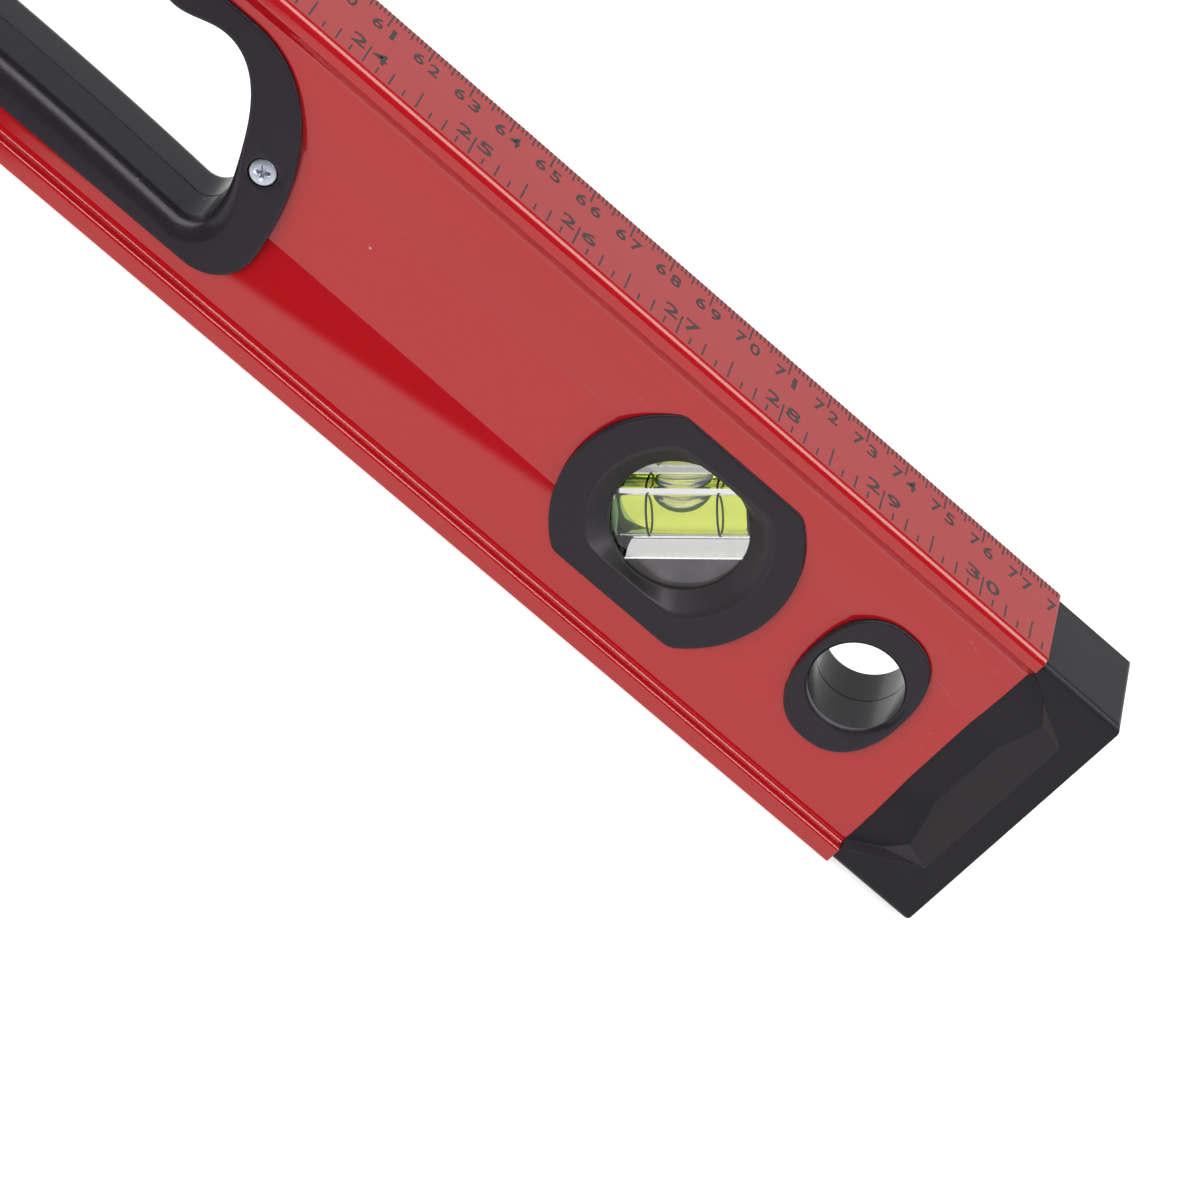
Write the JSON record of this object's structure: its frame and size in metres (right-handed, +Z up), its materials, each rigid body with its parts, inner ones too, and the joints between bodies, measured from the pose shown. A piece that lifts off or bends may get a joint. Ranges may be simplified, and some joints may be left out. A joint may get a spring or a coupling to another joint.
{
  "type": "magnetic spirit level",
  "caption": "Long red box-section spirit level with moulded hand grips, level, plumb and angle vials, hang holes, end caps and base magnets.",
  "frame": {"origin": "middle of the base, on the surface that the level stands on", "axes": "+X along the level towards the end with the angle vial, +Y from the front to the back, +Z up from the base"},
  "size_m": [0.8, 0.029, 0.0633],
  "materials": {
    "red_paint": "glossy red paint on an aluminium extrusion",
    "cap_plastic": "matt black moulded plastic",
    "grip_plastic": "satin black moulded plastic with a fine grain",
    "housing_plastic": "satin black moulded plastic",
    "zinc_screw": "bright zinc plate",
    "clear_acrylic": "clear polished acrylic",
    "plug_acrylic": "clear acrylic plug, bonded in",
    "line_black": "black",
    "vial_liquid": "clear yellow-green liquid",
    "bubble": "clear gas bubble",
    "magnet_nickel": "bright nickel plate"
  },
  "bodies": {
    "level_body": {"box_section": "red_paint", "end_cap_left": "cap_plastic", "end_cap_right": "cap_plastic", "grip_left_front": "grip_plastic", "grip_left_back": "grip_plastic", "grip_right_front": "grip_plastic", "grip_right_back": "grip_plastic", "grip_screw_left_outer": "zinc_screw", "grip_screw_left_inner": "zinc_screw", "grip_screw_right_inner": "zinc_screw", "grip_screw_right_outer": "zinc_screw", "plumb_housing_front": "housing_plastic", "plumb_housing_back": "housing_plastic", "plumb_vial_block": "clear_acrylic", "plumb_vial_plug": "plug_acrylic", "plumb_line_rings": "line_black", "plumb_liquid": "vial_liquid", "level_housing_front": "housing_plastic", "level_housing_back": "housing_plastic", "level_vial_block": "clear_acrylic", "level_vial_plug": "plug_acrylic", "level_line_rings": "line_black", "level_liquid": "vial_liquid", "angle_housing_front": "housing_plastic", "angle_housing_back": "housing_plastic", "angle_vial_block": "clear_acrylic", "angle_vial_plug": "plug_acrylic", "angle_line_rings": "line_black", "angle_liquid": "vial_liquid", "hang_bush_left_front": "housing_plastic", "hang_bush_left_back": "housing_plastic", "hang_bush_right_front": "housing_plastic", "hang_bush_right_back": "housing_plastic", "magnet_left_outer": "magnet_nickel", "magnet_left_inner": "magnet_nickel", "magnet_right_inner": "magnet_nickel", "magnet_right_outer": "magnet_nickel"},
    "plumb_bubble": {"plumb_bubble": "bubble"},
    "level_bubble": {"level_bubble": "bubble"},
    "angle_bubble": {"angle_bubble": "bubble"}
  },
  "joints": [
    {"name": "plumb_bubble_drift", "type": "slide", "parent": "level_body", "child": "plumb_bubble", "axis": [0, 0, 1], "range_m": [-0.0067, 0.0067]},
    {"name": "level_bubble_drift", "type": "slide", "parent": "level_body", "child": "level_bubble", "axis": [1, 0, 0], "range_m": [-0.0067, 0.0067]},
    {"name": "angle_bubble_drift", "type": "slide", "parent": "level_body", "child": "angle_bubble", "axis": [0.7071, 0, 0.7071], "range_m": [-0.0067, 0.0067]}
  ]
}
